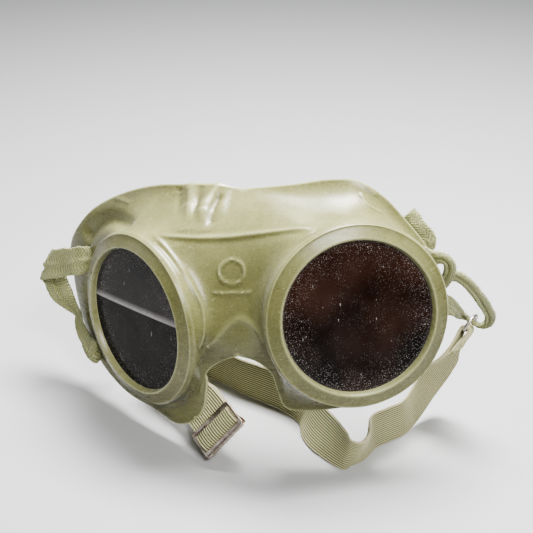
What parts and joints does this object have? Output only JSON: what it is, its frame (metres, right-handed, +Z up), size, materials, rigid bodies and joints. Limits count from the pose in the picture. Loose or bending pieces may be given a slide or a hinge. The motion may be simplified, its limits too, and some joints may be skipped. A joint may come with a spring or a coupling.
{
  "type": "welding goggles",
  "caption": "Moulded rubber welding goggles with two round dark glasses, a nose arch, cotton tape loops at the temples and a ribbed elastic headband with a metal slider.",
  "frame": {"origin": "centre of the whole object's footprint, on the table it stands on", "axes": "+X to the wearer's left, which is the right of a viewer who faces the glasses; +Y towards the wearer's face; +Z up; the mask is stored leaning back 12 degrees and tilted 10 degrees as it rests on its headband"},
  "size_m": [0.195, 0.0654, 0.1066],
  "materials": {
    "olive_rubber": "satin moulded olive rubber, dusty and slightly oxidised",
    "dark_glass": "polished near-black filter glass with dust at the rim",
    "cotton_tape": "pale green cotton twill tape, worn and soft",
    "elastic_webbing": "ribbed khaki elastic webbing, frayed at the cut end",
    "sewing_thread": "olive cotton sewing thread",
    "worn_plate": "plated metal, grey and coppery where worn",
    "plated_wire": "plated round wire"
  },
  "bodies": {
    "mask": {"rubber_mask": "olive_rubber", "right_lens": "dark_glass", "left_lens": "dark_glass", "elastic_headband": "elastic_webbing", "ring_end_stitching": "sewing_thread", "hook_end_stitching": "sewing_thread"},
    "left_bridle": {"left_bridle_tape": "cotton_tape", "left_upper_stitching": "sewing_thread", "left_lower_stitching": "sewing_thread"},
    "right_bridle": {"right_bridle_tape": "cotton_tape", "right_tab_stitching": "sewing_thread", "right_lower_stitching": "sewing_thread"},
    "slider": {"slider_frame": "worn_plate", "slider_bar": "worn_plate"},
    "ring": {"wire_ring": "plated_wire"},
    "hook": {"wire_hook": "plated_wire"}
  },
  "joints": [
    {"name": "left_bridle_swing", "type": "hinge", "parent": "mask", "child": "left_bridle", "pos_m": [-0.07229, 0.01827, 0.05696], "axis": [0.1736, -0.2535, -0.9516], "range_deg": [-10, 6]},
    {"name": "right_bridle_swing", "type": "hinge", "parent": "mask", "child": "right_bridle", "pos_m": [0.06744, 0.01727, 0.07832], "axis": [0.3692, -0.1719, -0.9133], "range_deg": [-2.5, 2.5]},
    {"name": "slider_slide", "type": "slide", "parent": "mask", "child": "slider", "axis": [-0.7408, 0.6146, 0.2713], "range_m": [0, 0.004]},
    {"name": "ring_swing", "type": "hinge", "parent": "mask", "child": "ring", "pos_m": [0.08676, 0.02648, 0.04423], "axis": [-0.199, -0.8955, 0.398], "range_deg": [-8, 8]},
    {"name": "hook_swing", "type": "hinge", "parent": "mask", "child": "hook", "pos_m": [-0.02764, 0.00508, 0.01163], "axis": [0, 0, 1], "range_deg": [-20, 20]}
  ]
}
